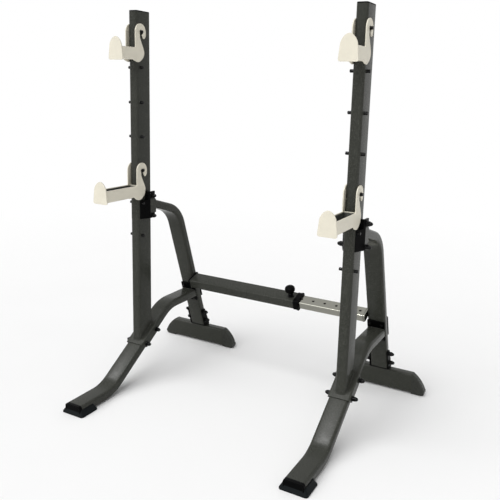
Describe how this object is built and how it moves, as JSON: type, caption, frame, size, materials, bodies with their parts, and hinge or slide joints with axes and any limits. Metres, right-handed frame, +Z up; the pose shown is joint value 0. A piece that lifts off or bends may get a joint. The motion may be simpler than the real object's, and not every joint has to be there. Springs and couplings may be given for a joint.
{
  "type": "squat stand",
  "caption": "Pair of tall uprights on bent legs with rear braces, lift-off bar hooks on pegs and a telescoping cross tube locked by a spring pin.",
  "frame": {"origin": "on the floor, midway between the two stands and midway between boots and rear feet", "axes": "+Z up, +Y to the back, +X from the left stand to the right one as seen from the front"},
  "size_m": [1.598, 1.07, 1.8353],
  "materials": {
    "frame_paint": "satin",
    "hook_paint": "satin",
    "liner": "matt",
    "black_paint": "satin",
    "black_steel": "satin",
    "black_plastic": "satin",
    "black_rubber": "matt",
    "cap_plastic": "satin",
    "chrome": "polished",
    "spring_steel": "bright"
  },
  "bodies": {
    "left_stand": {"left_upright": "frame_paint", "left_upright_cap": "black_plastic", "left_top_bracket_left_cheek": "black_paint", "left_top_bracket_right_cheek": "black_paint", "left_top_bracket_upper_bolt": "black_steel", "left_top_bracket_lower_bolt": "black_steel", "left_rear_brace": "frame_paint", "left_front_leg": "frame_paint", "left_leg_flange": "black_paint", "left_leg_backing_plate": "black_paint", "left_saddle": "frame_paint", "left_saddle_front_bolt": "black_steel", "left_saddle_rear_bolt": "black_steel", "left_front_boot": "black_rubber", "left_rear_foot": "frame_paint", "left_rear_foot_left_cap": "cap_plastic", "left_rear_foot_right_cap": "cap_plastic", "left_rear_bracket": "black_paint", "left_rear_bracket_upper_bolt": "black_steel", "left_rear_bracket_lower_bolt": "black_steel", "cross_left_plate": "black_paint", "cross_outer_tube": "frame_paint", "cross_collar": "black_plastic", "pin_housing": "chrome", "pin_spring": "spring_steel"},
    "right_stand": {"right_upright": "frame_paint", "right_upright_cap": "black_plastic", "right_top_bracket_left_cheek": "black_paint", "right_top_bracket_right_cheek": "black_paint", "right_top_bracket_upper_bolt": "black_steel", "right_top_bracket_lower_bolt": "black_steel", "right_rear_brace": "frame_paint", "right_front_leg": "frame_paint", "right_leg_flange": "black_paint", "right_leg_backing_plate": "black_paint", "right_saddle": "frame_paint", "right_saddle_front_bolt": "black_steel", "right_saddle_rear_bolt": "black_steel", "right_front_boot": "black_rubber", "right_rear_foot": "frame_paint", "right_rear_foot_left_cap": "cap_plastic", "right_rear_foot_right_cap": "cap_plastic", "right_rear_bracket": "black_paint", "right_rear_bracket_upper_bolt": "black_steel", "right_rear_bracket_lower_bolt": "black_steel", "cross_inner_tube": "chrome", "cross_right_plate": "black_paint"},
    "left_upper_bar_hook": {"left_upper_hook": "hook_paint", "left_upper_hook_liner": "liner"},
    "left_lower_bar_hook": {"left_lower_hook": "hook_paint", "left_lower_hook_liner": "liner"},
    "right_upper_bar_hook": {"right_upper_hook": "hook_paint", "right_upper_hook_liner": "liner"},
    "right_lower_bar_hook": {"right_lower_hook": "hook_paint", "right_lower_hook_liner": "liner"},
    "pop_pin": {"spring_pin": "chrome", "pin_knob": "black_plastic"}
  },
  "joints": [
    {"name": "width_slide", "type": "slide", "parent": "left_stand", "child": "right_stand", "axis": [1, 0, 0], "range_m": [-0.3175, 0.0635]},
    {"name": "left_upper_hook_tilt", "type": "hinge", "parent": "left_stand", "child": "left_upper_bar_hook", "pos_m": [-0.562, -0.058, 1.7385], "axis": [-1, 0, 0], "range_deg": [0, 45]},
    {"name": "left_lower_hook_tilt", "type": "hinge", "parent": "left_stand", "child": "left_lower_bar_hook", "pos_m": [-0.562, -0.058, 1.0861], "axis": [-1, 0, 0], "range_deg": [0, 45]},
    {"name": "right_upper_hook_tilt", "type": "hinge", "parent": "right_stand", "child": "right_upper_bar_hook", "pos_m": [0.562, -0.058, 1.7385], "axis": [-1, 0, 0], "range_deg": [0, 45]},
    {"name": "right_lower_hook_tilt", "type": "hinge", "parent": "right_stand", "child": "right_lower_bar_hook", "pos_m": [0.562, -0.058, 1.0861], "axis": [-1, 0, 0], "range_deg": [0, 45]},
    {"name": "pin_pull", "type": "slide", "parent": "left_stand", "child": "pop_pin", "axis": [0, -0.3362, 0.9418], "range_m": [0, 0.009], "stiffness_N_per_m": 900, "springref_m": -0.008, "deforming": ["pin_spring"]}
  ]
}
